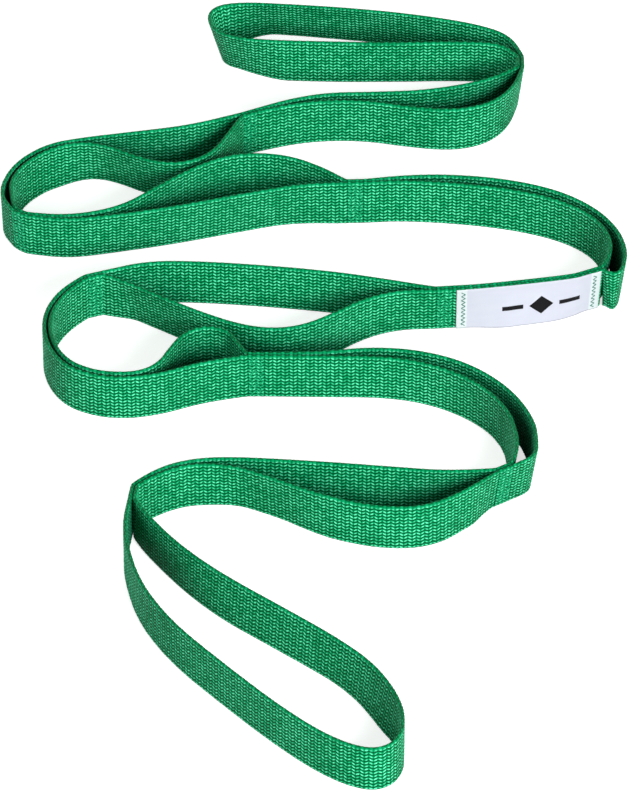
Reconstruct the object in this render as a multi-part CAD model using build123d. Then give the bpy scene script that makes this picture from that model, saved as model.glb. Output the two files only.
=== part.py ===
"""A webbing stretching strap with ten sewn loops, standing on its edge in a loose zigzag.

Two runs of flat webbing are sewn face to face at ten seams. Between the seams the runs
part, which makes the loops, and each end of the strap is one loop of a single folded run.
Seams are numbered from the far end to the near end, and so are the loops. A short stretch
between seams 5 and 6 has no loop: its two runs lie together, and it carries the label.
The strap bends where it is sewn, so each seam is a hinge with an upright axis.
Lengths are millimetres, angles degrees. Z is up, and the strap stands on z = 0.
"""

import os
from math import atan2, cos, degrees, radians, sin, tan

from build123d import *

# Webbing
webbing_width = 25.0        # the height of the strap, because it stands on its edge
webbing_thickness = 1.9
layer_gap = 0.1             # left between two runs that are pressed together
lay_scale = 1.0             # size of the zigzag that the strap lies in

# Seams
seam_leg = 9.0              # from a seam's hinge line to the first corner of each run
seam_straight = 6.0         # the runs stay straight and together this far from the line
hinge_clearance = 0.3       # between the pieces that turn past each other at a seam
stitch_length = 3.0         # of a stitched bar, along the strap
stitch_thickness = 0.3      # how far the thread stands off the webbing
stitch_inset = 1.5          # from the webbing's edges to the ends of a stitched bar

# Label
label_thickness = 0.4
label_drop = 0.5            # from the webbing's upper edge to the label's
label_rise = 1.0            # from the webbing's lower edge to the label's
label_start = 3.0           # from seam 5 to the label
label_end = 6.5             # from the label to seam 6
label_leg_5 = 12.0          # from seam 5 to the label section's first bend
label_leg_6 = 18.0          # from its last bend to seam 6
label_stitch_inset = 0.5    # from the label's ends to its stitched bars
label_stitch_length = 2.2
label_stitch_thickness = 0.2

# What follows from them
inner_face = layer_gap / 2
outer_face = inner_face + webbing_thickness
stitch_start = outer_face + stitch_thickness + hinge_clearance
child_gap = stitch_start    # from the hinge line to the square ends that turn about it
label_top = webbing_width - label_drop

# Where each seam lies, and the way the strap runs through it from the far end
seam_places = {
    1: (101, 222, 270),
    2: (-29.5, 181.5, 205),
    3: (-137, 106, 322),
    4: (21, 128.5, 2),
    5: (132, 62, 205),
    6: (62, 48.5, 185),
    7: (-100.5, 58.5, 200),
    8: (-25, 0.5, 0),
    9: (87.5, -79, 212),
    10: (-79.5, -95.5, 262),
}

# The inside faces of each loop, from one seam to the next. Left and right are as seen
# by someone who walks along the strap from its far end.
left_runs = {
    2: [(96, 201), (85, 189), (68, 184), (48, 186.5), (24, 192), (-2, 191)],
    3: [(-40, 166), (-47, 152), (-57, 144.5), (-69, 143), (-81, 147.5), (-94, 155.5),
        (-108, 159.5), (-121, 155), (-134, 143), (-140.5, 128)],
    4: [(-117, 101.5), (-101, 104), (-86, 110.5), (-72, 123.5), (-57, 136.5),
        (-43, 145.5), (-29, 149), (-11, 147), (5, 138)],
    5: [(44, 131.5), (64, 132.3), (90, 129.3), (114.5, 121.3), (132, 108.5),
        (142.5, 93), (145.5, 79), (145, 69)],
    6: [(40, 47.5), (24, 41.5), (9, 30), (-4, 22), (-18, 19.5), (-34, 23), (-58, 36),
        (-78, 49.5)],
    7: [(-115.8, 44.5), (-121.8, 28.5), (-120.2, 11), (-112.9, -4), (-100.5, -12),
        (-87, -14), (-76.5, -12.3), (-68.5, -6), (-63.5, 5), (-58, 15), (-49, 20),
        (-39, 17.5), (-34.5, 9)],
    8: [(6, 1), (28, 4.3), (50.5, 2), (72, -7), (90, -24.3), (100.3, -45.5),
        (101.5, -60), (101, -70)],
    9: [(64.5, -95), (50, -104), (33.5, -106), (17, -102), (-1, -94.5), (-18, -85),
        (-35, -77), (-52, -75.5), (-66, -80.5)],
}
right_runs = {
    2: [(84, 205), (56, 197.5), (32, 196), (8, 195.5), (-10, 190.5)],
    3: [(-58, 170), (-84, 165), (-108, 160.5), (-124, 156), (-137, 144.5),
        (-143.5, 131), (-145, 119)],
    4: [(-115, 100.5), (-96, 103), (-68, 109), (-34, 119), (-6, 127)],
    5: [(44, 130), (72, 127.5), (96, 123), (118, 115), (134, 102.5), (140.5, 89),
        (141.5, 77)],
    6: [(36, 53.5), (10, 59.5), (-22, 64), (-54, 67), (-76, 67)],
    7: [(-116.4, 45), (-122.5, 28.5), (-121, 10.5), (-113.5, -5), (-101, -13),
        (-86, -15.7), (-69, -12.5), (-51, -4.5)],
    8: [(6, 0), (36, -0.3), (58, -6.3), (77.6, -19.2), (90.6, -37.3), (94.6, -56),
        (94.5, -67)],
    9: [(60, -83), (38, -80.5), (12, -77.5), (-14, -75), (-36, -73.5), (-52, -74.5),
        (-66, -79.5)],
}
far_end_run = [(92, 237), (68, 238), (38, 236.5), (8, 236), (-18, 237), (-36, 240),
               (-46, 247.5), (-47.5, 261), (-36, 266.8), (-8, 265.5), (22, 262.3),
               (52, 257.3), (79, 250.3), (95, 242)]
near_end_run = [(-73, -114), (-59, -133.5), (-40, -153), (-12, -176), (11, -195.3),
                (27.3, -212.3), (37.7, -233), (39.8, -250), (35.5, -262), (25, -266),
                (7.5, -257), (-14, -237), (-38, -210), (-60, -184), (-74.5, -158),
                (-80.6, -134), (-82.3, -117)]

LEFT = 1
RIGHT = -1


def laid(points):
    return [Vector(x, y) * lay_scale for x, y in points]


def seam_centre(number):
    x, y, _ = seam_places[number]
    return Vector(x, y) * lay_scale


def seam_direction(number):
    angle = radians(seam_places[number][2])
    return Vector(cos(angle), sin(angle))


def on_seam(number, along):
    """The point on the strap's middle line that lies this far past a seam."""
    return seam_centre(number) + seam_direction(number) * along


def turn_at(points, index):
    """How much a line turns to the left at one of its corners, in radians."""
    before = points[index] - points[index - 1]
    after = points[index + 1] - points[index]
    cross = before.X * after.Y - before.Y * after.X
    dot = before.X * after.X + before.Y * after.Y
    return atan2(cross, dot)


def corner_radii(points):
    """The radius of the arc at each corner, as large as the runs beside it allow."""
    radii = []
    last = len(points) - 2
    for index in range(1, last + 1):
        before = (points[index] - points[index - 1]).length
        after = (points[index + 1] - points[index]).length
        tangent = 0.45 * min(before, after)
        if index == 1:
            tangent = min(tangent, before - seam_straight)
        if index == last:
            tangent = min(tangent, after - seam_straight)
        radii.append(tangent / tan(abs(turn_at(points, index)) / 2))
    return radii


def left_of(start, end):
    along = (end - start).normalized()
    return Vector(-along.Y, along.X)


def shifted(points, distance):
    """The same line, moved sideways: to the left if the distance is positive."""
    moved = [points[0] + left_of(points[0], points[1]) * distance]
    for index in range(1, len(points) - 1):
        before = left_of(points[index - 1], points[index])
        after = left_of(points[index], points[index + 1])
        middle = (before + after).normalized()
        reach = distance / cos(turn_at(points, index) / 2)
        moved.append(points[index] + middle * reach)
    moved.append(points[-1] + left_of(points[-2], points[-1]) * distance)
    return moved


def shifted_radii(points, distance):
    radii = []
    for index, radius in enumerate(corner_radii(points), start=1):
        bend = 1 if turn_at(points, index) > 0 else -1
        radii.append(radius - distance * bend)
    return radii


def trimmed(points, start_trim, end_trim):
    start = points[0] + (points[1] - points[0]).normalized() * start_trim
    end = points[-1] + (points[-2] - points[-1]).normalized() * end_trim
    return [start] + points[1:-1] + [end]


def side_line(points, distance, start_trim, end_trim):
    moved = trimmed(shifted(points, distance), start_trim, end_trim)
    if len(moved) == 2:
        return Line(moved[0], moved[1])
    return FilletPolyline(*moved, radius=shifted_radii(points, distance))


def strip(points, side, near, far, bottom, top, start_trim=0.0, end_trim=0.0):
    """A flat strip on edge, between two distances to one side of a line."""
    near_line = side_line(points, side * near, start_trim, end_trim)
    far_line = side_line(points, side * far, start_trim, end_trim)
    start_cap = Line(near_line @ 0, far_line @ 0)
    end_cap = Line(near_line @ 1, far_line @ 1)
    outline = make_face([near_line, end_cap, far_line, start_cap])
    return Pos(0, 0, bottom) * extrude(outline, amount=top - bottom, dir=(0, 0, 1))


def nose(tip, inward, hand):
    """A quarter of the round end about a hinge line. It lies to the left of someone who
    looks out of the run's end if hand is positive, and otherwise to the right."""
    out = (tip - inward).normalized()
    low = inner_face if hand > 0 else -outer_face
    round_end = Cylinder(outer_face, webbing_width, align=(Align.CENTER, Align.CENTER, Align.MIN))
    quarter = Box(outer_face, webbing_thickness, webbing_width, align=(Align.MIN, Align.MIN, Align.MIN))
    turned = Pos(tip.X, tip.Y, 0) * Rot(0, 0, degrees(atan2(out.Y, out.X)))
    return turned * (round_end & (Pos(0, low, 0) * quarter))


def webbing(points, side, start_number, end_number, parent_ends):
    """One run of webbing. Where it carries a seam's hinge line it ends in a round nose
    about the line, and where it turns about the line it ends square, clear of the nose."""
    start_trim = 0.0 if start_number in parent_ends else child_gap
    end_trim = 0.0 if end_number in parent_ends else child_gap
    run = strip(points, side, inner_face, outer_face, 0, webbing_width, start_trim, end_trim)
    if start_number in parent_ends:
        run += nose(points[0], points[1], -side)
    if end_number in parent_ends:
        run += nose(points[-1], points[-2], side)
    return run


def seam_line(start_number, end_number, middle):
    start = [on_seam(start_number, 0), on_seam(start_number, seam_leg)]
    end = [on_seam(end_number, -seam_leg), on_seam(end_number, 0)]
    return start + laid(middle) + end


def end_loop_line(number, toward, middle):
    seam = [on_seam(number, 0), on_seam(number, toward * seam_leg)]
    return seam + laid(middle) + [seam[1], seam[0]]


def seam_stitching(number, toward, sides):
    """The stitched bars of one seam, on the side that carries the hinge line."""
    line = [on_seam(number, 0), on_seam(number, toward * seam_straight)]
    hand = {LEFT: toward, RIGHT: -toward}
    end_trim = seam_straight - stitch_start - stitch_length
    bars = [
        strip(line, hand[side], outer_face, outer_face + stitch_thickness,
              stitch_inset, webbing_width - stitch_inset, stitch_start, end_trim)
        for side in sides
    ]
    return Compound(children=bars)


def label_parts():
    front = outer_face + label_thickness
    label = strip(section_line, LEFT, outer_face, front, label_rise, label_top, label_start, label_end)
    bars = []
    for number, toward, margin in ((5, 1, label_start), (6, -1, label_end)):
        reach = margin + label_stitch_inset + label_stitch_length
        line = [on_seam(number, 0), on_seam(number, toward * reach)]
        bars.append(
            strip(line, LEFT * toward, front, front + label_stitch_thickness,
                  label_rise + stitch_inset, label_top - stitch_inset, margin + label_stitch_inset)
        )
    return label, Compound(children=bars)


nodes = {}

# The seams on the far half hinge on the stretch after them, the others on the one before.
first_seam = min(seam_places)
last_seam = max(seam_places)
for loop in left_runs:
    start_seam, end_seam = (loop - 1, loop) if loop < 6 else (loop, loop + 1)
    parent_ends = [start_seam] if loop < 6 else [end_seam]
    for word, side, runs in (("left", LEFT, left_runs), ("right", RIGHT, right_runs)):
        line = seam_line(start_seam, end_seam, runs[loop])
        print(f"loop {loop} {word}: tightest bend {min(corner_radii(line)):.1f} mm")
        nodes[f"loop_{loop:02d}_{word}_webbing"] = webbing(line, side, start_seam, end_seam, parent_ends)

for name, seam, toward, run in (
    ("loop_01_end_webbing", first_seam, -1, far_end_run),
    ("loop_10_end_webbing", last_seam, 1, near_end_run),
):
    line = end_loop_line(seam, toward, run)
    print(f"{name}: tightest bend {min(corner_radii(line)):.1f} mm")
    nodes[name] = webbing(line, LEFT, seam, seam, [])

section_line = [on_seam(5, 0), on_seam(5, label_leg_5), on_seam(6, -label_leg_6), on_seam(6, 0)]
nodes["label_section_front_webbing"] = webbing(section_line, LEFT, 5, 6, [5, 6])
nodes["label_section_back_webbing"] = webbing(section_line, RIGHT, 5, 6, [5, 6])
nodes["label"], nodes["label_stitching"] = label_parts()

for number in seam_places:
    toward = 1 if number < 6 else -1
    sides = [RIGHT] if number == 5 else [LEFT, RIGHT]
    nodes[f"seam_{number:02d}_stitching"] = seam_stitching(number, toward, sides)

os.makedirs("parts", exist_ok=True)
for name, solid in nodes.items():
    export_step(solid, f"parts/{name}.step")
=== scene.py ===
import math

import bpy
import numpy as np
from mathutils import Matrix


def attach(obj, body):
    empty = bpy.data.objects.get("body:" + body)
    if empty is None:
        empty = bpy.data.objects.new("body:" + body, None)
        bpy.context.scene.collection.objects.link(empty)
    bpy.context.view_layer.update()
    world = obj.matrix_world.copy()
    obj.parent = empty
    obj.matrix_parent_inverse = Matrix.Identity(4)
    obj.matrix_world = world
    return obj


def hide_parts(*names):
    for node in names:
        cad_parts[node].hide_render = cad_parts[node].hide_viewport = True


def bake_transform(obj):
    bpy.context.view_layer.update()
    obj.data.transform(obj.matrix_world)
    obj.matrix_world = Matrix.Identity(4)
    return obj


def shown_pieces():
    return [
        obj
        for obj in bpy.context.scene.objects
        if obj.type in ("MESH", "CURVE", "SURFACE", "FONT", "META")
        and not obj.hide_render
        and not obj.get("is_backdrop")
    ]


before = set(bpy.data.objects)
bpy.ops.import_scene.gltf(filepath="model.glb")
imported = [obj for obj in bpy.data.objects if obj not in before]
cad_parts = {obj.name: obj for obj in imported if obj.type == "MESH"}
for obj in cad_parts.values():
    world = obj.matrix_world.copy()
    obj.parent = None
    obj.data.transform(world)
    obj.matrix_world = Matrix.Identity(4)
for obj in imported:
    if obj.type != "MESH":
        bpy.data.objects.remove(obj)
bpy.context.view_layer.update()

print("frame loaded:", len(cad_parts), "nodes")

# The webbing that the whole strap is sewn from. Lengths are metres.
webbing = {
    "width": 0.025,
    "thickness": 0.0019,
    "layerGap": 0.0001,      # between two runs that are pressed together
    "rows": 13,              # lengthwise yarns, side by side across the width
    "period": 0.0038,        # one zigzag of a yarn, a dash each way
    "stepsPerPeriod": 8,
    "stepsPerRow": 4,
    "swing": 0.52,           # sideways swing of a yarn, in rows
    "relief": 0.00034,       # from the valleys between the yarns to their tops
    "dive": 0.62,            # how much of the relief a yarn loses where it dives under
    "bluntness": 0.7,        # below 1 a dash is flat along its top
    "uneven": 0.16,          # how much the dashes differ in height
    "edgeThinning": 0.45,    # share of the thickness that the outermost yarns lose
    "rimBulge": 0.00042,     # how far the woven edge rounds outwards
    "rimThickness": 0.62,    # of the webbing's thickness
    "rimSteps": 3,
    "rimDot": 0.00016,       # height of the loops of yarn along the edge
    "dotPlace": 0.45,        # of a loop of yarn, from the middle of the edge to a face
    "dotReach": 0.8,         # how far a loop reaches round the edge from its own middle
    "seamPeriods": 1,        # periods on each side of a hinge line that the seam holds
}
seamReach = webbing["seamPeriods"] * webbing["period"]
layerMiddle = webbing["layerGap"] / 2 + webbing["thickness"] / 2
layerOuter = webbing["layerGap"] / 2 + webbing["thickness"]
tiny = 1e-9                  # a place where two dashes meet belongs to the second one

# Where each seam lies, and the way the strap runs through it from the far end, in degrees
seamPlaces = {
    1: (0.101, 0.222, 270),
    2: (-0.0295, 0.1815, 205),
    3: (-0.137, 0.106, 322),
    4: (0.021, 0.1285, 2),
    5: (0.132, 0.062, 205),
    6: (0.062, 0.0485, 185),
    7: (-0.1005, 0.0585, 200),
    8: (-0.025, 0.0005, 0),
    9: (0.0875, -0.079, 212),
    10: (-0.0795, -0.0955, 262),
}

# The inside faces of the loops, from one seam to the next. Left and right are as seen by
# someone who walks along the strap from its far end.
leftRuns = {
    2: [(0.096, 0.201), (0.085, 0.189), (0.068, 0.184), (0.048, 0.1865), (0.024, 0.192),
        (-0.002, 0.191)],
    3: [(-0.04, 0.166), (-0.047, 0.152), (-0.057, 0.1445), (-0.069, 0.143),
        (-0.081, 0.1475), (-0.094, 0.1555), (-0.108, 0.1598), (-0.123, 0.1555),
        (-0.136, 0.1438), (-0.1428, 0.13), (-0.1418, 0.118)],
    4: [(-0.117, 0.1015), (-0.101, 0.104), (-0.086, 0.1105), (-0.072, 0.1235),
        (-0.057, 0.1365), (-0.043, 0.1455), (-0.029, 0.149), (-0.011, 0.147), (0.005, 0.138)],
    5: [(0.044, 0.1315), (0.064, 0.1323), (0.09, 0.1293), (0.1145, 0.1213), (0.132, 0.1085),
        (0.1425, 0.093), (0.1462, 0.0785), (0.1454, 0.0675), (0.1425, 0.0605),
        (0.1385, 0.0615)],
    6: [(0.04, 0.0475), (0.024, 0.0415), (0.009, 0.03), (-0.004, 0.022), (-0.018, 0.0195),
        (-0.034, 0.023), (-0.058, 0.036), (-0.078, 0.0495)],
    7: [(-0.1158, 0.0445), (-0.1218, 0.0285), (-0.1202, 0.011), (-0.1129, -0.004),
        (-0.1005, -0.012), (-0.087, -0.014), (-0.0765, -0.0123), (-0.0685, -0.006),
        (-0.0635, 0.005), (-0.058, 0.015), (-0.049, 0.02), (-0.039, 0.0175),
        (-0.0345, 0.009)],
    8: [(0.006, 0.001), (0.028, 0.0043), (0.0505, 0.002), (0.072, -0.007), (0.09, -0.0243),
        (0.1003, -0.0455), (0.1015, -0.06), (0.101, -0.07)],
    9: [(0.066, -0.0968), (0.051, -0.1054), (0.0335, -0.106), (0.017, -0.102),
        (-0.001, -0.0945), (-0.018, -0.085), (-0.035, -0.077), (-0.052, -0.0755),
        (-0.066, -0.0805)],
}
rightRuns = {
    2: [(0.084, 0.205), (0.056, 0.1975), (0.032, 0.196), (0.008, 0.1955), (-0.01, 0.1905)],
    3: [(-0.058, 0.17), (-0.084, 0.165), (-0.108, 0.1605), (-0.124, 0.156),
        (-0.137, 0.1445), (-0.1435, 0.131), (-0.145, 0.119)],
    4: [(-0.115, 0.1005), (-0.096, 0.103), (-0.068, 0.109), (-0.034, 0.119), (-0.006, 0.127)],
    5: [(0.044, 0.13), (0.072, 0.1275), (0.096, 0.123), (0.118, 0.115), (0.134, 0.1025),
        (0.1405, 0.089), (0.1415, 0.077)],
    6: [(0.036, 0.0535), (0.01, 0.0595), (-0.022, 0.064), (-0.054, 0.067), (-0.076, 0.067)],
    7: [(-0.1164, 0.045), (-0.1225, 0.0285), (-0.121, 0.0105), (-0.1135, -0.005),
        (-0.101, -0.013), (-0.086, -0.0157), (-0.069, -0.0125), (-0.051, -0.0045)],
    8: [(0.006, 0.0), (0.036, -0.0003), (0.058, -0.0063), (0.0776, -0.0192),
        (0.0906, -0.0373), (0.0946, -0.056), (0.0945, -0.067)],
    9: [(0.06, -0.083), (0.038, -0.0805), (0.012, -0.0775), (-0.014, -0.075),
        (-0.036, -0.0735), (-0.052, -0.0745), (-0.066, -0.0795)],
}
farEndRun = [
    (0.092, 0.237), (0.068, 0.238), (0.038, 0.237), (0.008, 0.2378), (-0.018, 0.2389),
    (-0.036, 0.241), (-0.0475, 0.248), (-0.0492, 0.2622), (-0.0375, 0.2678),
    (-0.008, 0.2655), (0.022, 0.2623), (0.052, 0.2573), (0.079, 0.2503), (0.095, 0.242),
]
nearEndRun = [
    (-0.073, -0.114), (-0.059, -0.1335), (-0.04, -0.153), (-0.012, -0.176),
    (0.011, -0.1953), (0.0273, -0.2123), (0.0377, -0.233), (0.0398, -0.25),
    (0.0355, -0.262), (0.025, -0.266), (0.0075, -0.257), (-0.014, -0.237), (-0.038, -0.21),
    (-0.06, -0.184), (-0.0745, -0.158), (-0.0806, -0.134), (-0.0823, -0.117),
]

seamLegs = (0.0, 0.0025, 0.005)    # both runs share these points on each side of a seam
centimetre = 0.01
# How much the strap turns at each seam, in degrees to the left for each centimetre
seamBends = {1: 0, 2: 0, 3: 30, 4: 0, 5: 0, 6: 0, 7: 0, 8: 0, 9: 0, 10: 0}
# How far the lower edge stands to the right of the upper edge at each seam
seamLeans = {1: 0.003, 2: 0, 3: -0.0015, 4: 0, 5: 0.003, 6: 0.0015, 7: 0, 8: 0, 9: 0.0042, 10: 0}


def sidewaysOf(direction):
    return np.stack([-direction[..., 1], direction[..., 0]], axis=-1)


def seamDirection(number):
    angle = math.radians(seamPlaces[number][2])
    return np.array([math.cos(angle), math.sin(angle)])


def onSeam(number, along):
    # a point on the arc that the strap's middle line follows through a seam
    turn = math.radians(seamBends[number]) * along / centimetre
    direction = seamDirection(number)
    chord = direction * math.cos(turn / 2) + sidewaysOf(direction) * math.sin(turn / 2)
    return np.array(seamPlaces[number][:2]) + chord * along


def smoothLine(points, stepsPerCorner=32):
    # one smooth curve that is tangent to the legs between the points, at their middles
    points = np.array(points)
    middles = (points[:-1] + points[1:]) / 2
    middles[0] = points[0]
    middles[-1] = points[-1]
    share = np.linspace(0, 1, stepsPerCorner, endpoint=False)[:, None]
    spans = []
    for start, corner, end in zip(middles[:-1], points[1:-1], middles[1:]):
        towardCorner = start + (corner - start) * share
        pastCorner = corner + (end - corner) * share
        spans.append(towardCorner + (pastCorner - towardCorner) * share)
    return np.concatenate(spans + [points[-1:]])


def directionsOf(line):
    steps = np.gradient(line, axis=0)
    return steps / np.linalg.norm(steps, axis=1)[:, None]


def woundSamples(line, side):
    # even steps along the middle of the webbing, between the two places where a seam takes over
    middle = line + sidewaysOf(directionsOf(line)) * side * layerMiddle
    lengths = np.linalg.norm(np.diff(middle, axis=0), axis=1)
    along = np.concatenate([[0], np.cumsum(lengths)])
    free = along[-1] - 2 * seamReach
    periods = round(free / webbing["period"])
    steps = periods * webbing["stepsPerPeriod"]
    wanted = np.linspace(seamReach, along[-1] - seamReach, steps + 1)
    samples = np.stack([np.interp(wanted, along, middle[:, axis]) for axis in (0, 1)], axis=1)
    return samples, np.linspace(0, periods, steps + 1), free


def leanAlong(leans, share):
    # the lean at a share of the length, eased from one known place to the next
    lean = np.full(np.shape(share), float(leans[0][1]))
    for (start, before), (end, after) in zip(leans[:-1], leans[1:]):
        part = np.clip((share - start) / (end - start), 0, 1)
        lean = lean + (after - before) * part * part * (3 - 2 * part)
    return lean


def ringOutline():
    # the closed outline that is swept along a run: a face, the upper edge, the other face
    # and the lower edge
    rows = webbing["rows"]
    facePoints = np.linspace(0, rows, rows * webbing["stepsPerRow"] + 1)
    rimPoints = np.arange(1, webbing["rimSteps"]) / webbing["rimSteps"]
    outline = [(row, row, 1.0, 0) for row in facePoints]
    outline += [(rows + share, rows, 1 - 2 * share, 1) for share in rimPoints]
    outline += [(rows + 1 + row, rows - row, -1.0, 0) for row in facePoints]
    outline += [(2 * rows + 1 + share, 0, 2 * share - 1, -1) for share in rimPoints]
    return np.array(outline).T      # place round the ring, row up the width, side, rim


def stripMesh(name, samples, periods, seed, leans):
    ring, row, side, rim = ringOutline()
    rows = webbing["rows"]
    rowPitch = (webbing["width"] - 2 * webbing["rimBulge"]) / rows
    half = webbing["thickness"] / 2
    dice = np.random.default_rng(seed)

    dash = periods * 2
    dashNumber = np.floor(dash + tiny).astype(int)
    dashShare = dash - dashNumber
    even = dashNumber % 2 == 0
    zigzag = np.where(even, 0.5 - dashShare, dashShare - 0.5)[:, None]
    arch = np.sin(np.pi * dashShare)[:, None] ** webbing["bluntness"]

    # each dash of each yarn stands a little higher or lower than its neighbours
    rowNumber = np.minimum(np.floor(ring), 2 * rows + 1).astype(int)
    heights = 1 + webbing["uneven"] * (dice.random((dashNumber[-1] + 1, 2 * rows + 2)) * 2 - 1)
    height = heights[dashNumber][:, rowNumber]

    onFace = rim == 0
    edge = np.clip(np.minimum(row, rows - row), 0, 1)
    up = webbing["rimBulge"] + rowPitch * (row + webbing["swing"] * zigzag * edge)
    crown = np.sin(np.pi * np.clip(row, 0.5, rows - 0.5)) ** 2
    yarn = crown * (1 - webbing["dive"] * (1 - arch)) * height
    rounded = 1 - webbing["edgeThinning"] * (1 - np.clip(edge / 0.5, 0, 1)) ** 2
    out = side * (half * rounded - webbing["relief"] * (1 - yarn))

    # the woven edges: a small loop of yarn for each dash, turn and turn about
    dotSide = np.where(even, webbing["dotPlace"], -webbing["dotPlace"])[:, None]
    near = np.clip(1 - np.abs(side - dotSide) / webbing["dotReach"], 0, 1)
    dot = near * np.sin(np.pi * dashShare)[:, None] ** 2
    bulge = webbing["rimBulge"] * (1 - side ** 2) + webbing["rimDot"] * (dot - 1)
    fromEdge = webbing["rimBulge"] - bulge
    up = np.where(onFace, up, np.where(rim > 0, webbing["width"] - fromEdge, fromEdge))
    out = np.where(onFace, out, side * half * webbing["rimThickness"])

    lean = leanAlong(leans, np.linspace(0, 1, len(samples)))
    sideways = sidewaysOf(directionsOf(samples))
    offset = out + lean[:, None] * (up / webbing["width"] - 1)
    points = np.zeros(out.shape + (3,))
    points[..., 0] = samples[:, None, 0] + sideways[:, None, 0] * offset
    points[..., 1] = samples[:, None, 1] + sideways[:, None, 1] * offset
    points[..., 2] = up
    return sweptMesh(name, points, periods, ring)


def sweptMesh(name, points, periods, ring):
    count, ringCount = points.shape[:2]
    index = np.arange(count * ringCount).reshape(count, ringCount)
    after = np.roll(index, -1, axis=1)
    quads = np.stack([index[:-1], index[1:], after[1:], after[:-1]], axis=-1).reshape(-1, 4)
    ringAfter = np.append(ring[1:], 2 * webbing["rows"] + 2)
    across = np.stack([ring, ring, ringAfter, ringAfter], axis=-1)
    across = np.broadcast_to(across, (count - 1, ringCount, 4))
    lengthwise = np.stack([periods[:-1], periods[1:], periods[1:], periods[:-1]], axis=-1)
    lengthwise = np.broadcast_to(lengthwise[:, None, :], (count - 1, ringCount, 4))
    uv = np.stack([lengthwise, across], axis=-1).reshape(-1, 2)

    # closed ends, a ladder from one face to the other
    facePoints = webbing["rows"] * webbing["stepsPerRow"] + 1
    rimPoints = webbing["rimSteps"] - 1
    ladder = []
    for step in range(facePoints - 1):
        other = 2 * facePoints + rimPoints - 1 - step
        ladder.append([step, step + 1, other - 1, other])
    upperEdge = list(range(facePoints - 1, facePoints + rimPoints + 1))
    lowerEdge = list(range(2 * facePoints + rimPoints - 1, ringCount)) + [0]
    startEnd = ladder + [upperEdge, lowerEdge]
    lastRing = (count - 1) * ringCount
    farEnd = [[lastRing + corner for corner in reversed(face)] for face in startEnd]

    mesh = bpy.data.meshes.new(name)
    caps = startEnd + farEnd
    corners = np.concatenate([quads.ravel(), np.concatenate([np.array(face) for face in caps])])
    sizes = np.concatenate([np.full(len(quads), 4), [len(face) for face in caps]])
    mesh.vertices.add(count * ringCount)
    mesh.vertices.foreach_set("co", points.astype(np.float32).ravel())
    mesh.loops.add(len(corners))
    mesh.loops.foreach_set("vertex_index", corners.astype(np.int32))
    mesh.polygons.add(len(sizes))
    starts = np.concatenate([[0], np.cumsum(sizes)[:-1]])
    mesh.polygons.foreach_set("loop_start", starts.astype(np.int32))
    mesh.update(calc_edges=True)
    capUv = []
    for faces, place in ((startEnd, periods[0]), (farEnd, periods[-1])):
        for face in faces:
            capUv += [(place, ring[corner % ringCount]) for corner in face]
    layer = mesh.uv_layers.new(name="weave")
    layer.data.foreach_set("uv", np.concatenate([uv, np.array(capUv)]).astype(np.float32).ravel())
    smooth = np.concatenate([np.ones(len(quads), bool), np.zeros(len(caps), bool)])
    mesh.polygons.foreach_set("use_smooth", smooth)
    mesh.validate()
    piece = bpy.data.objects.new(name, mesh)
    bpy.context.scene.collection.objects.link(piece)
    return piece


# Materials

def newMaterial(name):
    material = bpy.data.materials.new(name)
    material.use_nodes = True
    nodes = material.node_tree.nodes
    return material, nodes, material.node_tree.links, nodes["Principled BSDF"]


def addNode(nodes, kind, **settings):
    node = nodes.new(kind)
    for key, value in settings.items():
        setattr(node, key, value)
    return node


def mathNode(tree, operation, first, second=None, third=None, clamp=False):
    node = addNode(tree.nodes, "ShaderNodeMath", operation=operation, use_clamp=clamp)
    for index, value in enumerate((first, second, third)):
        if value is None:
            continue
        if isinstance(value, (int, float)):
            node.inputs[index].default_value = value
        else:
            tree.links.new(value, node.inputs[index])
    return node.outputs[0]


weaveLook = {
    "edgeMargin": 0.25,      # in rows; nearer the edge the yarns stay as light as here
    "crown": 1.6,            # above 1 the valleys between the yarns look wider
    "rim": (0.1, 0.72),      # painted shade between the loops of yarn along the edge, and the lightness on them
    "filaments": (1.4, 7.0),    # fineness along a period, and across a row
}


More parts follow.
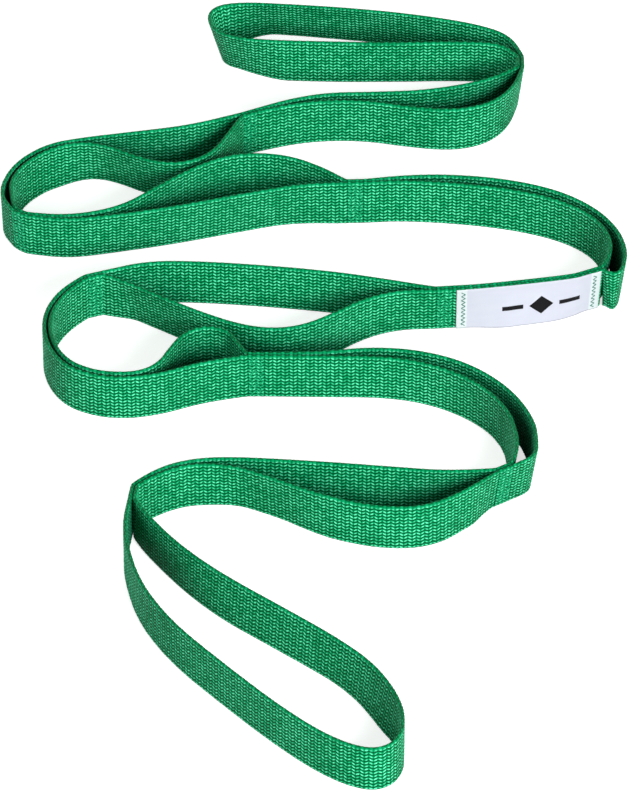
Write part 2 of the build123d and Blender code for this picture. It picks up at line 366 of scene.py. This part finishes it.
def weaveGroup():
    # x of the map counts zigzag periods along the webbing, y counts yarns round it
    group = bpy.data.node_groups.new("webbingWeave", "ShaderNodeTree")
    interface = group.interface
    interface.new_socket("Map", in_out="INPUT", socket_type="NodeSocketVector")
    interface.new_socket("Rows", in_out="INPUT", socket_type="NodeSocketFloat")
    interface.new_socket("Dive", in_out="INPUT", socket_type="NodeSocketFloat")
    interface.new_socket("Yarn", in_out="OUTPUT", socket_type="NodeSocketFloat")
    interface.new_socket("Filaments", in_out="OUTPUT", socket_type="NodeSocketFloat")
    interface.new_socket("Dash", in_out="OUTPUT", socket_type="NodeSocketFloat")
    given = group.nodes.new("NodeGroupInput")
    result = group.nodes.new("NodeGroupOutput")
    split = group.nodes.new("ShaderNodeSeparateXYZ")
    group.links.new(given.outputs["Map"], split.inputs[0])
    dash = mathNode(group, "MULTIPLY", split.outputs["X"], 2.0)
    dashShare = mathNode(group, "FRACT", dash)
    dashNumber = mathNode(group, "FLOOR", dash)
    odd = mathNode(group, "MODULO", dashNumber, 2.0)
    turn = mathNode(group, "ADD", given.outputs["Rows"], 1.0)
    row = mathNode(group, "MODULO", split.outputs["Y"], turn)
    onRim = mathNode(group, "GREATER_THAN", row, given.outputs["Rows"])
    rowShare = mathNode(group, "FRACT", row)
    margin = weaveLook["edgeMargin"]
    lastPlace = mathNode(group, "SUBTRACT", given.outputs["Rows"], margin)
    crownPlace = mathNode(group, "MAXIMUM", mathNode(group, "MINIMUM", row, lastPlace), margin)
    crownShare = mathNode(group, "FRACT", crownPlace)
    crown = mathNode(group, "SINE", mathNode(group, "MULTIPLY", crownShare, math.pi))
    arch = mathNode(group, "SINE", mathNode(group, "MULTIPLY", dashShare, math.pi))
    archSoft = mathNode(group, "POWER", arch, webbing["bluntness"])
    dip = mathNode(group, "SUBTRACT", 1.0, archSoft)
    dive = mathNode(group, "MULTIPLY", dip, given.outputs["Dive"])
    lift = mathNode(group, "SUBTRACT", 1.0, dive)
    ridge = mathNode(group, "POWER", crown, weaveLook["crown"])
    faceYarn = mathNode(group, "MULTIPLY", ridge, lift)
    across = mathNode(group, "SUBTRACT", mathNode(group, "MULTIPLY", rowShare, 2.0), 1.0)
    dotPlace = mathNode(group, "MULTIPLY_ADD", odd, 2 * webbing["dotPlace"], -webbing["dotPlace"])
    apart = mathNode(group, "ABSOLUTE", mathNode(group, "ADD", across, dotPlace))
    away = mathNode(group, "DIVIDE", apart, webbing["dotReach"])
    dot = mathNode(group, "SUBTRACT", 1.0, away, clamp=True)
    rimLoop = mathNode(group, "MULTIPLY", dot, arch)
    rimLow, rimHigh = weaveLook["rim"]
    rimYarn = mathNode(group, "MULTIPLY_ADD", rimLoop, rimHigh - rimLow, rimLow)
    mix = addNode(group.nodes, "ShaderNodeMix", data_type="FLOAT")
    group.links.new(onRim, mix.inputs["Factor"])
    group.links.new(faceYarn, mix.inputs["A"])
    group.links.new(rimYarn, mix.inputs["B"])
    group.links.new(mix.outputs["Result"], result.inputs["Yarn"])
    # fine threads that run along each yarn
    stretch = addNode(group.nodes, "ShaderNodeCombineXYZ")
    for index, axis in enumerate("XY"):
        fine = mathNode(group, "MULTIPLY", split.outputs[axis], weaveLook["filaments"][index])
        group.links.new(fine, stretch.inputs[index])
    threads = addNode(group.nodes, "ShaderNodeTexNoise", noise_dimensions="3D")
    threads.inputs["Scale"].default_value = 1.0
    threads.inputs["Detail"].default_value = 2.0
    group.links.new(stretch.outputs[0], threads.inputs["Vector"])
    group.links.new(threads.outputs[0], result.inputs["Filaments"])
    # one chance value for each dash
    cell = addNode(group.nodes, "ShaderNodeCombineXYZ")
    group.links.new(dashNumber, cell.inputs[0])
    group.links.new(mathNode(group, "FLOOR", split.outputs["Y"]), cell.inputs[1])
    chance = addNode(group.nodes, "ShaderNodeTexWhiteNoise", noise_dimensions="2D")
    group.links.new(cell.outputs[0], chance.inputs["Vector"])
    group.links.new(chance.outputs["Value"], result.inputs["Dash"])
    return group


webbingFinish = {
    # painted light: painted shade in the valleys and on the flanks, the yarns' green on the crowns,
    # a painted highlight on the tips
    "valleyShade": (0.0, 0.060, 0.012, 1),
    "flank": (0.0, 0.17, 0.050, 1),
    "crown": (0.003, 0.36, 0.135, 1),
    "tip": (0.15, 0.86, 0.50, 1),
    "roughness": (0.62, 0.42),     # in the valleys, on the yarns
    "bump": 0.00012,
    "sheenAlongYarn": 0.8,
    "specular": 0.4,
    "shine": (0.05, 1.0, 0.55, 1),
    "dashes": 0.26,          # how much the lightness differs between dashes, filaments, places
    "streaks": 0.5,
    "patches": 0.24,
    "patchScale": 28.0,
    "shadeReach": 0.03,      # painted shade: how near another run has to be to darken this one's colour
    "shadeRange": (0.15, 0.62),     # painted shade: openness of the darkest and of the undarkened places
    "shadeLeast": 0.42,
}


def spread(tree, value, amount):
    # a value between 0 and 1, made to vary evenly about zero
    return mathNode(tree, "MULTIPLY_ADD", value, amount, -amount / 2)


def webbingMaterial(weave):
    material, nodes, links, shader = newMaterial("greenWebbing")
    tree = material.node_tree
    uvMap = addNode(nodes, "ShaderNodeUVMap", uv_map="weave")
    group = addNode(nodes, "ShaderNodeGroup", node_tree=weave)
    group.inputs["Rows"].default_value = webbing["rows"]
    group.inputs["Dive"].default_value = webbing["dive"]
    links.new(uvMap.outputs[0], group.inputs["Map"])
    yarn, filaments, dash = group.outputs
    spot = addNode(nodes, "ShaderNodeTexCoord")
    cloud = addNode(nodes, "ShaderNodeTexNoise")
    cloud.inputs["Scale"].default_value = webbingFinish["patchScale"]
    links.new(spot.outputs["Object"], cloud.inputs["Vector"])
    uneven = spread(tree, dash, webbingFinish["dashes"])
    streaks = spread(tree, filaments, webbingFinish["streaks"])
    patches = spread(tree, cloud.outputs[0], webbingFinish["patches"])
    tone = mathNode(tree, "ADD", mathNode(tree, "ADD", uneven, streaks), patches)
    level = mathNode(tree, "MULTIPLY_ADD", tone, mathNode(tree, "SQRT", yarn), yarn, clamp=True)
    # the colour runs from painted shade between the yarns to a painted highlight on the tops of the
    # dashes
    ramp = addNode(nodes, "ShaderNodeValToRGB")
    stops = ramp.color_ramp.elements
    stops[0].position, stops[0].color = 0.1, webbingFinish["valleyShade"]
    stops[1].position, stops[1].color = 0.96, webbingFinish["tip"]
    for position, colour in ((0.4, "flank"), (0.74, "crown")):
        stops.new(position).color = webbingFinish[colour]
    links.new(level, ramp.inputs[0])
    # painted shade: deep between two runs the webbing's colour is darkened
    paintedShadeOcclusion = addNode(nodes, "ShaderNodeAmbientOcclusion", samples=6)
    paintedShadeOcclusion.inputs["Distance"].default_value = webbingFinish["shadeReach"]
    openShare = addNode(nodes, "ShaderNodeMapRange")
    openShare.inputs["From Min"].default_value = webbingFinish["shadeRange"][0]
    openShare.inputs["From Max"].default_value = webbingFinish["shadeRange"][1]
    openShare.inputs["To Min"].default_value = webbingFinish["shadeLeast"]
    links.new(paintedShadeOcclusion.outputs["AO"], openShare.inputs["Value"])
    paintedShadeColour = addNode(nodes, "ShaderNodeVectorMath", operation="SCALE")
    links.new(ramp.outputs[0], paintedShadeColour.inputs[0])
    links.new(openShare.outputs[0], paintedShadeColour.inputs["Scale"])
    links.new(paintedShadeColour.outputs[0], shader.inputs["Base Color"])
    low, high = webbingFinish["roughness"]
    links.new(mathNode(tree, "MULTIPLY_ADD", yarn, high - low, low), shader.inputs["Roughness"])
    bump = addNode(nodes, "ShaderNodeBump")
    bump.inputs["Distance"].default_value = webbingFinish["bump"]
    bump.inputs["Strength"].default_value = 1.0
    height = mathNode(tree, "MULTIPLY_ADD", filaments, 0.6, yarn)
    links.new(height, bump.inputs["Height"])
    links.new(bump.outputs[0], shader.inputs["Normal"])
    # the yarns run along the map, and their shine is narrow that way and wide across
    along = addNode(nodes, "ShaderNodeTangent", direction_type="UV_MAP", uv_map="weave")
    links.new(along.outputs[0], shader.inputs["Tangent"])
    shader.inputs["Anisotropic"].default_value = webbingFinish["sheenAlongYarn"]
    shader.inputs["Anisotropic Rotation"].default_value = 0.25
    shader.inputs["Specular IOR Level"].default_value = webbingFinish["specular"]
    shader.inputs["Specular Tint"].default_value = webbingFinish["shine"]
    return material


threadFinish = {
    "green": ((0.0, 0.15, 0.055, 1), (0.01, 0.46, 0.20, 1)),     # painted shade between the plies, the thread's own colour on them
    "teal": ((0.0, 0.075, 0.05, 1), (0.015, 0.19, 0.135, 1)),
    "twistsPerMetre": 1400,
    "bump": 0.00005,
    "roughness": 0.38,
    "specular": 0.3,
    "shine": (0.3, 1.0, 0.65, 1),
}


def threadMaterial(name, colours):
    material, nodes, links, shader = newMaterial(name)
    tree = material.node_tree
    spot = addNode(nodes, "ShaderNodeTexCoord")
    split = addNode(nodes, "ShaderNodeSeparateXYZ")
    links.new(spot.outputs["Object"], split.inputs[0])
    sideways = mathNode(tree, "ADD", split.outputs["Y"], split.outputs["Z"])
    slant = mathNode(tree, "ADD", split.outputs["X"], sideways)
    turns = mathNode(tree, "MULTIPLY", slant, threadFinish["twistsPerMetre"] * math.tau)
    plies = mathNode(tree, "SINE", turns)
    share = mathNode(tree, "MULTIPLY_ADD", plies, 0.5, 0.5)
    # painted shade in the grooves between the plies
    ramp = addNode(nodes, "ShaderNodeValToRGB")
    ramp.color_ramp.elements[0].color = colours[0]
    ramp.color_ramp.elements[1].color = colours[1]
    links.new(share, ramp.inputs[0])
    links.new(ramp.outputs[0], shader.inputs["Base Color"])
    bump = addNode(nodes, "ShaderNodeBump")
    bump.inputs["Distance"].default_value = threadFinish["bump"]
    links.new(share, bump.inputs["Height"])
    links.new(bump.outputs[0], shader.inputs["Normal"])
    shader.inputs["Roughness"].default_value = threadFinish["roughness"]
    shader.inputs["Specular IOR Level"].default_value = threadFinish["specular"]
    shader.inputs["Specular Tint"].default_value = threadFinish["shine"]
    return material


satinFinish = {
    "white": (0.60, 0.62, 0.70, 1),
    "shade": (0.51, 0.53, 0.63, 1),
    "hem": (0.63, 0.70, 0.71, 1),
    "hemShare": 0.072,       # of the label's length
    "ink": (0.003, 0.003, 0.004, 1),
    "ribs": 260,             # fine crosswise ribs along the label
    "threads": (16, 260, 1),
    "cloudScale": 5.0,
    "bump": 0.00003,
    "roughness": 0.4,
    "specular": 0.25,
}
# The printed mark is a diamond between two bars. Its sizes are metres.
mark = {
    "centre": (0.42, 0.46),      # share of the label's length and height
    "label": (0.062, 0.0239),    # length and height that the shares stand for
    "diamond": 0.0052,           # from its middle to a point
    "bars": 0.0122,              # from the middle of the diamond to the middle of a bar
    "barHalf": (0.0045, 0.0012),
}


def markShape(tree, split):
    distances = []
    for axis, middle, size in zip("XY", mark["centre"], mark["label"]):
        fromMiddle = mathNode(tree, "SUBTRACT", split.outputs[axis], middle)
        distances.append(mathNode(tree, "ABSOLUTE", mathNode(tree, "MULTIPLY", fromMiddle, size)))
    x, y = distances
    diamond = mathNode(tree, "LESS_THAN", mathNode(tree, "ADD", x, y), mark["diamond"])
    fromBar = mathNode(tree, "ABSOLUTE", mathNode(tree, "SUBTRACT", x, mark["bars"]))
    halfLength, halfHeight = mark["barHalf"]
    within = mathNode(tree, "LESS_THAN", fromBar, halfLength)
    bar = mathNode(tree, "MULTIPLY", within, mathNode(tree, "LESS_THAN", y, halfHeight))
    return mathNode(tree, "MAXIMUM", diamond, bar)


def satinMaterial():
    material, nodes, links, shader = newMaterial("whiteSatin")
    tree = material.node_tree
    uvMap = addNode(nodes, "ShaderNodeUVMap", uv_map="UVMap")
    split = addNode(nodes, "ShaderNodeSeparateXYZ")
    links.new(uvMap.outputs[0], split.inputs[0])
    ribPlace = mathNode(tree, "MULTIPLY", split.outputs["X"], satinFinish["ribs"] * math.tau)
    ribs = mathNode(tree, "SINE", ribPlace)
    cloud = addNode(nodes, "ShaderNodeTexNoise")
    cloud.inputs["Scale"].default_value = satinFinish["cloudScale"]
    cloud.inputs["Detail"].default_value = 3.0
    links.new(uvMap.outputs[0], cloud.inputs["Vector"])
    threads = addNode(nodes, "ShaderNodeTexNoise")
    threads.inputs["Scale"].default_value = 1.0
    stretch = addNode(nodes, "ShaderNodeMapping")
    stretch.inputs["Scale"].default_value = satinFinish["threads"]
    links.new(uvMap.outputs[0], stretch.inputs["Vector"])
    links.new(stretch.outputs[0], threads.inputs["Vector"])
    shade = addNode(nodes, "ShaderNodeMix", data_type="RGBA")
    shade.inputs["A"].default_value = satinFinish["white"]
    shade.inputs["B"].default_value = satinFinish["shade"]
    shading = mathNode(tree, "MULTIPLY_ADD", cloud.outputs[0], 0.8, -0.1, clamp=True)
    links.new(shading, shade.inputs["Factor"])
    # the doubled ends look whiter
    fromMiddle = mathNode(tree, "ABSOLUTE", mathNode(tree, "SUBTRACT", split.outputs["X"], 0.5))
    doubled = mathNode(tree, "GREATER_THAN", fromMiddle, 0.5 - satinFinish["hemShare"])
    ends = addNode(nodes, "ShaderNodeMix", data_type="RGBA")
    links.new(doubled, ends.inputs["Factor"])
    links.new(shade.outputs["Result"], ends.inputs["A"])
    ends.inputs["B"].default_value = satinFinish["hem"]
    printed = addNode(nodes, "ShaderNodeMix", data_type="RGBA")
    links.new(markShape(tree, split), printed.inputs["Factor"])
    links.new(ends.outputs["Result"], printed.inputs["A"])
    printed.inputs["B"].default_value = satinFinish["ink"]
    links.new(printed.outputs["Result"], shader.inputs["Base Color"])
    bump = addNode(nodes, "ShaderNodeBump")
    bump.inputs["Distance"].default_value = satinFinish["bump"]
    links.new(mathNode(tree, "MULTIPLY_ADD", threads.outputs[0], 1.2, ribs), bump.inputs["Height"])
    links.new(bump.outputs[0], shader.inputs["Normal"])
    shader.inputs["Roughness"].default_value = satinFinish["roughness"]
    shader.inputs["Specular IOR Level"].default_value = satinFinish["specular"]
    return material


weave = weaveGroup()
greenWebbing = webbingMaterial(weave)
greenThread = threadMaterial("greenThread", threadFinish["green"])
tealThread = threadMaterial("tealThread", threadFinish["teal"])
satinRibbon = satinMaterial()
print("materials ready")


# The runs of webbing between the seams


def finishStrip(piece, node):
    piece.data.materials.append(greenWebbing)
    if node:
        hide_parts(node)


def addRun(name, body, node, line, side, seed, leans):
    samples, periods, length = woundSamples(smoothLine(line), side)
    piece = stripMesh(name, samples, periods, seed, leans)
    finishStrip(piece, node)
    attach(piece, body)
    return piece


# Most runs lean only near their seams. These lean in other places too.
# Each pair is a share of the run's length, and the lean there.
upright = ((0.35, 0), (0.65, 0))
middleLeans = {
    (3, "left"): ((0.22, 0), (0.38, 0.0045), (0.53, 0.0045), (0.68, 0)),
    (3, "right"): ((0.2, 0), (0.4, 0.0045), (0.6, 0.0045), (0.8, 0)),
    (4, "right"): ((0.1, -0.0015), (0.35, -0.0025), (0.75, -0.0025)),
    (5, "left"): ((0.35, 0), (0.65, 0), (0.82, 0.003), (0.9, 0.003)),
    (6, "left"): ((0.35, 0), (0.6, 0), (0.78, 0.004), (0.9, 0.004)),
    (9, "left"): ((0.1, 0.001), (0.18, 0), (0.45, 0), (0.62, 0.002), (0.7, 0.002), (0.82, 0)),
}


def seamEnds(start, startToward, end, endToward):
    first = [onSeam(start, startToward * along) for along in seamLegs]
    last = [onSeam(end, endToward * along) for along in reversed(seamLegs)]
    return first, last


for loop in leftRuns:
    startSeam, endSeam = (loop - 1, loop) if loop < 6 else (loop, loop + 1)
    first, last = seamEnds(startSeam, 1, endSeam, -1)
    for word, side, runs in (("left", 1, leftRuns), ("right", -1, rightRuns)):
        line = first + [np.array(point) for point in runs[loop]] + last
        name = f"loop_{loop:02d}_{word}"
        middle = middleLeans.get((loop, word), upright)
        leans = ((0, seamLeans[startSeam]), *middle, (1, seamLeans[endSeam]))
        addRun(f"{name}_strap", f"loop_{loop:02d}", f"{name}_webbing", line, side,
               10 * loop + side, leans)

endLoopLeans = {
    1: ((0.08, 0.001), (0.2, 0.001), (0.28, 0.0005), (0.34, 0.0005), (0.43, 0.007), (0.5, 0.007),
        (0.6, -0.008), (0.72, -0.007), (0.9, 0)),
    10: ((0.05, 0), (0.18, 0.002), (0.3, 0.002), (0.39, 0.0045), (0.46, 0), (0.75, 0)),
}
for name, seam, toward, run in (("loop_01", 1, -1, farEndRun), ("loop_10", 10, 1, nearEndRun)):
    first, last = seamEnds(seam, toward, seam, toward)
    # the end loop leaves its seam one way and comes back to it the other way
    leave = seamLeans[seam] * toward
    endLeans = ((0, leave), *endLoopLeans[seam], (1, -leave))
    line = first + [np.array(point) for point in run] + last
    addRun(f"{name}_end_strap", name, f"{name}_end_webbing", line, 1, seam, endLeans)

labelLegs = (0.012, 0.018)      # straight stretches beside seams 5 and 6
sectionLeans = ((0, seamLeans[5]), (1, seamLeans[6]))
first, last = seamEnds(5, 1, 6, -1)
sectionLine = first + [onSeam(5, labelLegs[0]), onSeam(6, -labelLegs[1])] + last
for word, side in (("front", 1), ("back", -1)):
    name = f"label_section_{word}"
    addRun(f"{name}_strap", "label_section", f"{name}_webbing", sectionLine, side,
           70 + side, sectionLeans)
print("runs of webbing ready")


# The seams: both layers

def bendWith(piece):
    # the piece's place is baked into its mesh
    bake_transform(piece)


for seam in seamPlaces:
    steps = 2 * webbing["seamPeriods"] * webbing["stepsPerPeriod"]
    along = np.linspace(-seamReach, seamReach, steps + 1)
    periods = np.linspace(0, 2 * webbing["seamPeriods"], steps + 1)
    spine = np.array([onSeam(seam, place) for place in along])
    for word, side in (("left", 1), ("right", -1)):
        samples = spine + sidewaysOf(directionsOf(spine)) * side * layerMiddle
        leans = ((0, seamLeans[seam]), (1, seamLeans[seam]))
        piece = stripMesh(f"seam_{seam:02d}_{word}_strap", samples, periods,
                          100 + 2 * seam + side, leans)
        finishStrip(piece, None)
        bendWith(piece)
print("seams ready")

# Zigzag stitching. One stitch is modelled, and copied along each line of stitching.

stitching = {
    "threadRadius": 0.00021,
    "sides": 6,
    "pitch": 0.00125,        # up the webbing, from one needle hole to the next
    "lineWidth": 0.0021,
    "lines": (-0.0024, 0.0, 0.0024),    # from the hinge line, towards the child
    "margin": 0.0013,        # from the webbing's edges
    "sink": 0.00012,         # how far the thread is pulled into the webbing
    "straight": 0.62,        # share of a stitch that lies straight
    # the bent ends: reach in stitch lengths, drop in radii, size
    "bentEnds": ((0.11, 0.35, 0.95), (0.06, 1.0, 0.9)),
}
labelStitching = {"pitch": 0.00125, "lineWidth": 0.0019, "margin": 0.0016}


def selectFaces(mesh, wanted):
    bpy.ops.mesh.select_all(action="DESELECT")
    mesh.update_from_editmode()
    bpy.ops.object.mode_set(mode="OBJECT")
    for face in mesh.data.polygons:
        face.select = wanted(face)
    bpy.ops.object.mode_set(mode="EDIT")


def modelStitch(length):
    # a thread that lies along X and dives into the webbing at both ends, at -Y
    radius = stitching["threadRadius"]
    straight = length * stitching["straight"]
    bpy.ops.object.select_all(action="DESELECT")
    bpy.ops.mesh.primitive_cylinder_add(
        vertices=stitching["sides"], radius=radius, depth=straight, rotation=(0, math.pi / 2, 0))
    stitch = bpy.context.object
    bpy.ops.object.transform_apply(location=True, rotation=True, scale=True)
    bpy.ops.object.mode_set(mode="EDIT")
    bpy.ops.mesh.select_mode(type="FACE")
    for end in (1, -1):
        selectFaces(stitch, lambda face: face.normal.x * end > 0.9)
        for reach, drop, size in stitching["bentEnds"]:
            step = (end * length * reach, -radius * drop, 0)
            bpy.ops.mesh.extrude_region_move(TRANSFORM_OT_translate={"value": step})
            bpy.ops.transform.resize(value=(1, size, size))
    bpy.ops.object.mode_set(mode="OBJECT")
    bpy.ops.object.shade_smooth()
    return stitch


def copyStitch(stitch, start, end, outwards):
    middle = (start + end) / 2
    along = (end - start) / np.linalg.norm(end - start)
    up = np.cross(along, outwards)
    copied = stitch.copy()
    copied.data = stitch.data.copy()
    bpy.context.scene.collection.objects.link(copied)
    matrix = np.eye(4)
    matrix[:3, 0], matrix[:3, 1], matrix[:3, 2], matrix[:3, 3] = along, outwards, up, middle
    copied.data.transform(Matrix(matrix.tolist()))
    return copied


def joinPieces(parts, name):
    bpy.ops.object.select_all(action="DESELECT")
    for part in parts:
        part.select_set(True)
    bpy.context.view_layer.objects.active = parts[0]
    bpy.ops.object.join()
    joined = bpy.context.object
    joined.name = name
    joined.data.name = name
    return joined


def zigzag(stitch, placeOf, outwards, lowest, highest, pitch, width, lean):
    count = round((highest - lowest) / pitch)
    heights = np.linspace(lowest, highest, count + 1)
    parts = []
    for index in range(count):
        swing = width / 2 if index % 2 else -width / 2
        start = np.array([*placeOf(swing), heights[index]])
        start += lean * (heights[index] / webbing["width"] - 1)
        end = np.array([*placeOf(-swing), heights[index + 1]])
        end += lean * (heights[index + 1] / webbing["width"] - 1)
        parts.append(copyStitch(stitch, start, end, outwards))
    return parts


def seamThread(seam, stitch):
    childSide = -1 if seam < 6 else 1
    lowest, highest = stitching["margin"], webbing["width"] - stitching["margin"]
    parts = []
    for side in (1, -1):
        if seam == 5 and side == 1:
            continue            # the label covers this side
        for line in stitching["lines"]:
            centre = onSeam(seam, childSide * line)
            direction = onSeam(seam, childSide * line + 0.0005) - centre
            direction /= np.linalg.norm(direction)
            outwards = np.array([*(sidewaysOf(direction) * side), 0.0])
            centre = centre + outwards[:2] * (layerOuter - stitching["sink"])
            lean = outwards * side * seamLeans[seam]
            parts += zigzag(stitch, lambda swing: centre + direction * swing, outwards,
                            lowest, highest, stitching["pitch"], stitching["lineWidth"], lean)
    return joinPieces(parts, f"seam_{seam:02d}_thread")


stitch = modelStitch(math.hypot(stitching["lineWidth"], stitching["pitch"]))
for seam in seamPlaces:
    thread = seamThread(seam, stitch)
    thread.data.materials.clear()
    thread.data.materials.append(greenThread)
    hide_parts(f"seam_{seam:02d}_stitching")
    bendWith(thread)
print("stitching ready")


# The label: a satin ribbon with a turned-in hem at each end, sewn on by its ends

label = {
    "start": -0.0025,        # from seam 5 to the label, which reaches a little past the hinge line
    "end": 0.0055,           # from the label to seam 6
    "low": 0.0007,
    "high": 0.0246,
    "steps": (120, 36),
    "thickness": 0.0003,
    "hem": 0.0047,           # length of the doubled ends
    "hemStep": 0.00022,
    "belly": 0.0022,         # how far the middle of its lower edge stands off
    "stitchFromEnd": 0.0032,
    "gap": 0.00005,          # between the webbing and the label
    "swellReach": 0.02,      # from a hem to where the belly is full
    "roll": 0.0004,          # how far the middle of its height stands off
    "ripple": 0.00012,
    "ripples": 31,           # radians of ripple along the label
    "hemEdge": 0.0006,       # length of the slope at the end of a hem
    "sag": 0.0005,           # how far the lower edge hangs down
}
sectionMiddle = smoothLine(sectionLine)
sectionLength = np.linalg.norm(np.diff(sectionMiddle, axis=0), axis=1).sum()
labelLength = sectionLength - label["start"] - label["end"]
labelHeight = label["high"] - label["low"]


def labelPlace(along, height):
    # along is from seam 5; the surface stands off the front of the label section
    steps = np.linalg.norm(np.diff(sectionMiddle, axis=0), axis=1)
    lengths = np.concatenate([[0], np.cumsum(steps)])
    total = lengths[-1]
    direction = directionsOf(sectionMiddle)
    dx = np.interp(along, lengths, direction[:, 0])
    dy = np.interp(along, lengths, direction[:, 1])
    before = np.minimum(along, 0)
    x = np.interp(along, lengths, sectionMiddle[:, 0]) + dx * before
    y = np.interp(along, lengths, sectionMiddle[:, 1]) + dy * before
    share = np.clip((along - label["start"]) / (total - label["start"] - label["end"]), 0, 1)
    fromEnd = np.minimum(along - label["start"], total - label["end"] - along)
    free = np.clip((fromEnd - label["hem"]) / label["swellReach"], 0, 1)
    swell = free * free * (3 - 2 * free)
    low = 1 - np.clip((height - label["low"]) / labelHeight, 0, 1)
    rolled = np.sin(np.pi * low)
    belly = label["belly"] * swell * low ** 1.5 + label["roll"] * swell * rolled
    ripple = label["ripple"] * np.sin(share * label["ripples"]) * rolled
    hem = label["hemStep"] * np.clip((label["hem"] - fromEnd) / label["hemEdge"], 0, 1)
    lean = leanAlong(sectionLeans, np.clip((along - seamReach) / (total - 2 * seamReach), 0, 1))
    leaning = lean * (height / webbing["width"] - 1)
    stand = layerOuter + label["gap"] + belly + ripple * swell + hem + leaning
    sag = label["sag"] * swell * low
    return x - dy * stand, y + dx * stand, height - sag


bpy.ops.object.select_all(action="DESELECT")
stepsAlong, stepsUp = label["steps"]
bpy.ops.mesh.primitive_grid_add(x_subdivisions=stepsAlong, y_subdivisions=stepsUp, size=2)
satin = bpy.context.object
satin.name = "label_satin"
grid = np.zeros(len(satin.data.vertices) * 3, np.float32)
satin.data.vertices.foreach_get("co", grid)
grid = grid.reshape(-1, 3)
along = label["start"] + labelLength * (grid[:, 0] + 1) / 2
height = label["low"] + labelHeight * (grid[:, 1] + 1) / 2
shaped = np.stack(labelPlace(along, height), axis=1)
satin.data.vertices.foreach_set("co", shaped.astype(np.float32).ravel())
bpy.ops.object.mode_set(mode="EDIT")
bpy.ops.mesh.select_all(action="SELECT")
bpy.ops.mesh.flip_normals()
bpy.ops.object.mode_set(mode="OBJECT")
wall = satin.modifiers.new("wall", "SOLIDIFY")
wall.thickness = label["thickness"]
wall.offset = 1
bpy.ops.object.modifier_apply(modifier="wall")
bpy.ops.object.shade_smooth()
bendWith(satin)
satin.data.materials.append(satinRibbon)
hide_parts("label")


def labelSpot(fromSeam5, height):
    return np.array(labelPlace(np.array(fromSeam5), np.array(height)))[:2]


parts = []
firstLine = label["start"] + label["stitchFromEnd"]
lastLine = sectionLength - label["end"] - label["stitchFromEnd"]
lowest = label["low"] + labelStitching["margin"]
highest = label["high"] - labelStitching["margin"]
for fromSeam5 in (firstLine, lastLine):
    here = labelSpot(fromSeam5, webbing["width"])
    there = labelSpot(fromSeam5 + 0.001, webbing["width"])
    lean = np.array([*(here - labelSpot(fromSeam5, 0.0)), 0.0])
    direction = (there - here) / np.linalg.norm(there - here)
    outwards = np.array([*sidewaysOf(direction), 0.0])
    centre = here + outwards[:2] * label["thickness"]
    parts += zigzag(stitch, lambda swing: centre + direction * swing, outwards, lowest, highest,
                    labelStitching["pitch"], labelStitching["lineWidth"], lean)
labelThread = joinPieces(parts, "label_thread")
labelThread.data.materials.clear()
labelThread.data.materials.append(tealThread)
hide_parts("label_stitching")
bendWith(labelThread)
bpy.data.objects.remove(stitch)
print("label ready")

# Floor, light and camera

# The floor's grey as it is looked at, the grey that lights the strap, and its own glow
floor = {"size": 8.0, "colour": 0.6, "bounce": 0.4, "glow": 0.7}
studioLight = 0.31
bpy.ops.object.select_all(action="DESELECT")
bpy.ops.mesh.primitive_plane_add(size=floor["size"], location=(0, 0, 0))
ground = bpy.context.object
ground.name = "floor"
paper, nodes, links, shader = newMaterial("whitePaper")
# looked at straight it is bright paper, but it throws less light back on the strap
path = addNode(nodes, "ShaderNodeLightPath")
seen = path.outputs["Is Camera Ray"]
tree = paper.node_tree
whiteness = mathNode(tree, "MULTIPLY_ADD", seen, floor["colour"] - floor["bounce"], floor["bounce"])
links.new(whiteness, shader.inputs["Base Color"])
shader.inputs["Emission Color"].default_value = (1, 1, 1, 1)
links.new(mathNode(tree, "MULTIPLY", seen, floor["glow"]), shader.inputs["Emission Strength"])
shader.inputs["Roughness"].default_value = 0.9
shader.inputs["Specular IOR Level"].default_value = 0.1
ground.data.materials.append(paper)
ground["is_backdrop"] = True

lamps = {
    # name: place, aim, size, watts
    "key": ((1.7, -3.2, 2.1), (0, 0, 0), 1.3, 235),
    "fill": ((-2.4, -2.2, 2.1), (0, 0, 0), 2.0, 50),
    "back": ((-0.5, 2.8, 2.0), (0, 0, 0), 1.4, 30),
}


def aimAt(thing, target):
    x, y, z = np.array(target) - np.array(thing.location)
    thing.rotation_euler = (math.atan2(math.hypot(x, y), -z), 0, math.atan2(-x, y))


for name, (place, aim, size, watts) in lamps.items():
    bpy.ops.object.light_add(type="AREA", location=place)
    lamp = bpy.context.object
    lamp.name = name
    lamp.data.size = size
    lamp.data.energy = watts
    aimAt(lamp, aim)

world = bpy.data.worlds.new("studio")
world.use_nodes = True
backdrop = world.node_tree.nodes["Background"]
backdrop.inputs["Color"].default_value = (1, 1, 1, 1)
backdrop.inputs["Strength"].default_value = studioLight
bpy.context.scene.world = world
bpy.context.scene.view_settings.view_transform = "Standard"

camera = {
    "target": (0.002, -0.003, 0.0),
    "distance": 3.3968,
    "elevation": 40.0,       # degrees
    "lens": 332.0,           # millimetres, on a sensor of 36
}
tilt = math.radians(camera["elevation"])
x, y, z = camera["target"]
place = (x, y - camera["distance"] * math.cos(tilt), z + camera["distance"] * math.sin(tilt))
bpy.ops.object.camera_add(location=place, rotation=(math.pi / 2 - tilt, 0, 0))
eye = bpy.context.object
eye.data.sensor_width = 36
eye.data.lens = camera["lens"]
eye.data.clip_end = 20
bpy.context.scene.camera = eye
print("floor, light and camera ready")

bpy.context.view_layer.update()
counts = []
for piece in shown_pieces():
    piece.data.calc_loop_triangles()
    counts.append(len(piece.data.loop_triangles))
print("triangles:", sum(counts), "in all, at most", max(counts), "in a piece")
